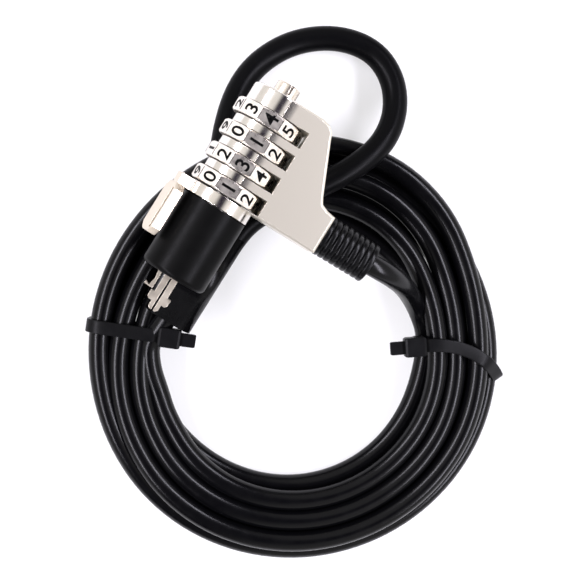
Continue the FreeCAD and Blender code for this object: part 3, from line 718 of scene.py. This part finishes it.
def make_strap(side, plan):
    strands = strands_at(side)
    top = max(s.y for s in strands)
    strands.append(Vector((plan["head_out"] + HEAD_STANDOFF, top)))
    band = evened(band_round(strands))
    line, lifted = [], []
    for k, point in enumerate(band):
        onward = (band[(k + 1) % len(band)] - band[k - 1]).normalized()
        above = point + Vector((onward.y, -onward.x)) * MM
        line.append(on_tie(side, point.x, 0, point.y))
        lifted.append(on_tie(side, above.x, 0, above.y))
    rings = []
    for k, here in enumerate(line):
        onward = line[(k + 1) % len(line)] - line[k - 1]
        outward = (lifted[k] - here).normalized()
        across = outward.cross(onward).normalized()
        rings.append([here + across * wide + outward * lift for wide, lift in strap_section()])
    strap = ring_skin(f"tie_strap_{side}", rings, nylon_black, loop_round=True)
    return strap, top + cable_diameter / 2 + STRAP_THICKNESS / 2


print("the strap's section has", len(strap_section()), "points")

# %% [markdown]
# ### The head and the cut tail
#
# The head is a moulded block with its ends sloped for the mould, and the tail is the end of the
# strap, cut off after pulling. Both are skins over four-cornered rings, whose hard edges a bevel
# rounds as a mould does.


# %% The head and the cut tail
def eased_edges(piece, width_mm):
    """Rounds a piece's hard edges."""
    bevel = piece.modifiers.new("eased_edges", "BEVEL")
    bevel.width = width_mm * MM
    bevel.segments = 3
    bevel.limit_method = "ANGLE"
    bevel.harden_normals = True


def block_rings(side, stations):
    """Rings of a block along the tie; a station is (out, width, low, high)."""
    rings = []
    for out, width, low, high in stations:
        corners = ((-width / 2, low), (width / 2, low), (width / 2, high), (-width / 2, high))
        rings.append([on_tie(side, out, across, height) for across, height in corners])
    return rings


def flat_shaded(piece):
    for face in piece.data.polygons:
        face.use_smooth = False
    return piece


def make_head(side, plan, strap_height):
    """The ratchet head and the strap's cut tail, which carries on through it."""
    start, end = plan["head_out"], plan["head_in"]
    low = strap_height - HEAD_HEIGHT * HEAD_BELOW
    high = strap_height + HEAD_HEIGHT * HEAD_ABOVE
    slope = HEAD_SLOPE
    stations = [
        (start, HEAD_WIDTH - slope, low + slope, high - slope / 2),
        (start - slope, HEAD_WIDTH, low, high),
        (end + slope, HEAD_WIDTH, low, high),
        (end, HEAD_WIDTH - slope / 2, low + slope, high - slope / 2),
    ]
    head = ring_skin(f"tie_head_{side}", block_rings(side, stations), nylon_black)
    eased_edges(flat_shaded(head), HEAD_EDGE_MM)
    under, over = strap_height - STRAP_THICKNESS / 2, strap_height + STRAP_THICKNESS / 2
    tail_stations = [
        (end + TAIL_IN_HEAD, STRAP_WIDTH, under, over),
        (plan["tail_in"] + TAIL_TAPER, STRAP_WIDTH, under, over),
        (plan["tail_in"], STRAP_WIDTH * TAIL_END_SHARE, under, over),
    ]
    tail = ring_skin(f"tie_tail_{side}", block_rings(side, tail_stations), nylon_black)
    eased_edges(flat_shaded(tail), TAIL_EDGE_MM)
    return head, tail


print("a tie's head is", round(HEAD_WIDTH / MM, 1), "by", round(HEAD_HEIGHT / MM, 1), "mm")

# %% Both ties
ties = {}
for side, plan in TIES.items():
    strap, strap_height = make_strap(side, plan)
    head, tail = make_head(side, plan, strap_height)
    ties[side] = (strap, head, tail)
    print("tie", side, "strap top", round(strap_height / MM, 1), "mm")

# %% [markdown]
# ## The digits
#
# Each dial is a ten-sided ring with one digit on every face, engraved and filled with black. The
# digits read with their tops towards the lever's side, and count up towards the wing. Along every
# edge between two faces runs a thin black strip, which is a painted dark reflection of the edge.
# Engraving would cut the dials into slivers, so every digit and every painted edge strip is a very
# thin black plate that sits on the metal.

# %% Digit shapes
SHOWN = (1, 3, 1, 4)
FACES = 10
DIGIT_HEIGHT = 4.9 * MM
DIGIT_THICKNESS = 0.03 * MM  # to each side of the face
DIGIT_BOLDER = 0.08 * MM
# a thin black strip along every edge between two faces is a painted dark reflection
EDGE_REFLECTION_WIDTH = 0.16 * MM
EDGE_REFLECTION_DEPTH = 0.05 * MM  # to each side of its middle
EDGE_REFLECTION_SUNK = 0.03 * MM
EDGE_REFLECTION_STOPS_SHORT = 0.4 * MM
DIAL_CORNER_RADIUS = 9.0 * MM
dial_low, dial_high = corners_of("number_dial_1")
dial_length = dial_high.y - dial_low.y
face_distance = DIAL_CORNER_RADIUS * math.cos(math.pi / FACES)


def digit_mesh(digit):
    """The flat outline of a digit, given a slight thickness."""
    text = bpy.data.curves.new(f"digit_{digit}", "FONT")
    text.body = str(digit)
    text.size = DIGIT_HEIGHT
    text.align_x = "CENTER"
    text.align_y = "CENTER"
    text.extrude = DIGIT_THICKNESS
    text.offset = DIGIT_BOLDER
    holder = new_piece(f"digit_{digit}", text)
    bpy.context.view_layer.update()
    mesh = bpy.data.meshes.new_from_object(holder)
    low = Vector([min(v.co[i] for v in mesh.vertices) for i in range(3)])
    high = Vector([max(v.co[i] for v in mesh.vertices) for i in range(3)])
    mesh.transform(Matrix.Translation(-(low + high) / 2))
    bpy.data.objects.remove(holder)
    return mesh


def line_mesh():
    """A thin black strip along an edge of the dial: a painted dark reflection."""
    mesh = bmesh.new()
    half = dial_length / 2 - EDGE_REFLECTION_STOPS_SHORT
    bmesh.ops.create_cube(mesh, size=1.0)
    bmesh.ops.scale(mesh, vec=(2 * half, EDGE_REFLECTION_WIDTH, 2 * EDGE_REFLECTION_DEPTH), verts=mesh.verts)
    data = bpy.data.meshes.new("dial_painted_edge_reflection")
    mesh.to_mesh(data)
    mesh.free()
    return data


digit_meshes = [digit_mesh(d) for d in range(FACES)]
# the painted dark reflection laid along each edge of a dial
painted_edge_reflection = line_mesh()
print("made", len(digit_meshes), "digits", round(DIGIT_HEIGHT / MM, 1), "mm high")


# %% Digits on the dials
def face_matrix(turn, middle, distance):
    """Local X runs along the lock, Y is the digit's top, Z looks out of the face."""
    out = Vector((math.sin(turn), 0, math.cos(turn)))
    top = Vector((-math.cos(turn), 0, math.sin(turn)))
    spin = Matrix((Vector((0, 1, 0)), top, out)).transposed().to_4x4()
    return Matrix.Translation(Vector((0, middle, 0)) + out * distance) @ spin


edge_reflection_distance = DIAL_CORNER_RADIUS - EDGE_REFLECTION_SUNK
digit_pieces = []
for number, shown in enumerate(SHOWN, start=1):
    middle = middle_of(f"number_dial_{number}").y
    joined = bmesh.new()
    for face in range(FACES):
        turn = 2 * math.pi * face / FACES
        # each face gets its digit, and its edge gets a strip of painted dark reflection
        for mesh, at in (
            (digit_meshes[(shown + face) % FACES], face_matrix(turn, middle, face_distance)),
            (painted_edge_reflection, face_matrix(turn + math.pi / FACES, middle, edge_reflection_distance)),
        ):
            placed = mesh.copy()
            placed.transform(at)
            joined.from_mesh(placed)
            bpy.data.meshes.remove(placed)
    data = bpy.data.meshes.new(f"dial_digits_and_edge_reflections_{number}")
    joined.to_mesh(data)
    joined.free()
    digit_pieces.append(new_piece(f"dial_digits_and_edge_reflections_{number}", data, digit_and_edge_reflection_black))
print("digits on", len(digit_pieces), "dials")

# %% [markdown]
# ## Finishes for the CAD parts
#
# Every part that the CAD model brings keeps its shape and takes the finish of its material slot.

# %% Finishes by slot
SLOT_FINISHES = {
    "plated_zinc": housing_plate,
    "plated_dial": dial_plate,
    "satin_nickel": button_plate,
    "bright_steel": turned_steel,
    "steel": plain_steel,
    "black_sleeve": sleeve_black,
    "nylon": nylon_black,
    "relief_rubber": boot_black,
    "cable_jacket": jacket_black,
    "loop_sleeving": sleeving_black,
    "crimp_skin": crimp_black,
}
for part in frame["record"]["subparts"]:
    solid = frame["nodes"][part["node"]]
    finish = lever_plate if part["node"] == "thumb_lever" else SLOT_FINISHES[part["material_slot"]]
    if not solid.material_slots:
        solid.data.materials.append(finish)
    for slot in solid.material_slots:
        slot.material = finish

# %% [markdown]
# ## What rides on what
#
# The cable, its fittings and its ties stay with the lock's body; each set of digits turns with its
# own dial.

# %% Riding and standing in
for piece, slot, nodes in (
    (cable, "cable_jacket", ("cable_lead", "cable_tail", "cable_coil")),
    (loop, "loop_sleeving", ("cable_loop",)),
    (boot, "relief_rubber", ("strain_relief",)),
    (crimp, "crimp_skin", ("crimp_cover",)),
    (ties["left"][0], "nylon", ("tie_left_strap",)),
    (ties["left"][1], "nylon", ("tie_left_head",)),
    (ties["left"][2], "nylon", ()),
    (ties["right"][0], "nylon", ("tie_right_strap",)),
    (ties["right"][1], "nylon", ("tie_right_head",)),
    (ties["right"][2], "nylon", ()),
):
    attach(piece, "lock_body")
    if nodes:
        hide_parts(*nodes)
for number, piece in enumerate(digit_pieces, start=1):
    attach(piece, f"dial_{number}")
print("every new piece rides on its body")

# %% [markdown]
# ## The cords' lengths
#
# A cord's length is fixed, however it lies. The cable is seen from end to end, so its length is
# that of its route; the loop's runs from the ferrule back into the ferrule. Neither is worked out
# here.

# %% [markdown]
# ## Floor, lights and surroundings
#
# The lock lies on plain white paper. The paper also glows slightly, so it stays white round the
# coil under lights weak enough for the plated metal. Two long soft boxes stand left and right of
# the camera, so every black strand carries a pair of bright lines with a dark one between. The
# room is bright all round except straight above, where the camera is, and that puts the dark
# streak down the middle of the plated barrel.

# %% The paper
PAPER_GLOW = 0.45
PAPER_GAP = 0.05 * MM
floor_finish, floor_tree, floor_shader, floor_place = blank_finish("white_paper")
floor_shader.inputs["Base Color"].default_value = hex_colour("#a4a4a4")
floor_shader.inputs["Roughness"].default_value = 0.9
floor_shader.inputs["Emission Color"].default_value = hex_colour("#ffffff")
floor_shader.inputs["Emission Strength"].default_value = PAPER_GLOW
fibres = grain(floor_tree, floor_place, 0.4, detail=4.0)
floor_tree.links.new(bump(floor_tree, fibres, 0.004), floor_shader.inputs["Normal"])
FLOOR_SIZE = 6.0
floor_mesh = bmesh.new()
bmesh.ops.create_grid(floor_mesh, x_segments=1, y_segments=1, size=FLOOR_SIZE / 2)
floor_data = bpy.data.meshes.new("paper_floor")
floor_mesh.to_mesh(floor_data)
floor_mesh.free()
floor = new_piece("paper_floor", floor_data, floor_finish)
floor.location = (coil_centre.x, coil_centre.y, floor_height - PAPER_GAP)
print("paper", FLOOR_SIZE, "m wide")

# %% Soft boxes
SOFT_BOX_WIDTH, SOFT_BOX_LENGTH, SOFT_BOX_WATTS = 0.11, 0.9, 8.0
LIGHT_DISTANCE = 0.6
LIGHT_ANGLE = math.radians(42)
target = Vector((coil_centre.x, coil_centre.y, floor_height))


def soft_box(name, sideways, colour):
    """A rectangular light to one side of the camera, aimed at the coil."""
    data = bpy.data.lights.new(name, "AREA")
    data.shape = "RECTANGLE"
    data.size = SOFT_BOX_WIDTH
    data.size_y = SOFT_BOX_LENGTH
    data.energy = SOFT_BOX_WATTS
    data.color = hex_colour(colour)[:3]
    light = bpy.data.objects.new(name, data)
    bpy.context.scene.collection.objects.link(light)
    away = Vector((0, 0, 1)) * math.cos(LIGHT_ANGLE) + sideways * math.sin(LIGHT_ANGLE)
    along = Vector((0, 0, 1)).cross(sideways).normalized()
    across = along.cross(away).normalized()
    turn = Matrix((across, along, away)).transposed().to_4x4()
    light.matrix_world = Matrix.Translation(target + away * LIGHT_DISTANCE) @ turn


level_right = Vector((camera_right.x, camera_right.y, 0)).normalized()
soft_box("soft_box_right", level_right, "#f3f1ff")
soft_box("soft_box_left", -level_right, "#f6f3ff")
print("two soft boxes,", LIGHT_DISTANCE, "m away")

# %% The room
DARK_MIDDLE = 0.10
DARK_TO, BRIGHT_FROM = 0.13, 0.34
world = bpy.data.worlds.new("bright_room")
bpy.context.scene.world = world
world.use_nodes = True
sky = world.node_tree
direction = add(sky, "ShaderNodeTexCoord").outputs["Generated"]
parts = add(sky, "ShaderNodeSeparateXYZ", {"Vector": direction})
sideways = add(sky, "ShaderNodeMath", {0: parts.outputs["X"], 1: DARK_MIDDLE}, operation="SUBTRACT")
from_middle = add(sky, "ShaderNodeMath", {0: sideways.outputs[0]}, operation="ABSOLUTE")
room = spread(sky, from_middle.outputs[0], 0.0, 1.0, DARK_TO, BRIGHT_FROM)
colours = {0: room, MIX_INSIDE: hex_colour("#251e30"), MIX_OUTSIDE: hex_colour("#fbf8f5")}
shades = add(sky, "ShaderNodeMix", colours, data_type="RGBA")
sky.links.new(shades.outputs[MIX_RESULT], sky.nodes["Background"].inputs["Color"])
bpy.context.scene.view_settings.view_transform = "Standard"
print("the room is dark above and bright all round")
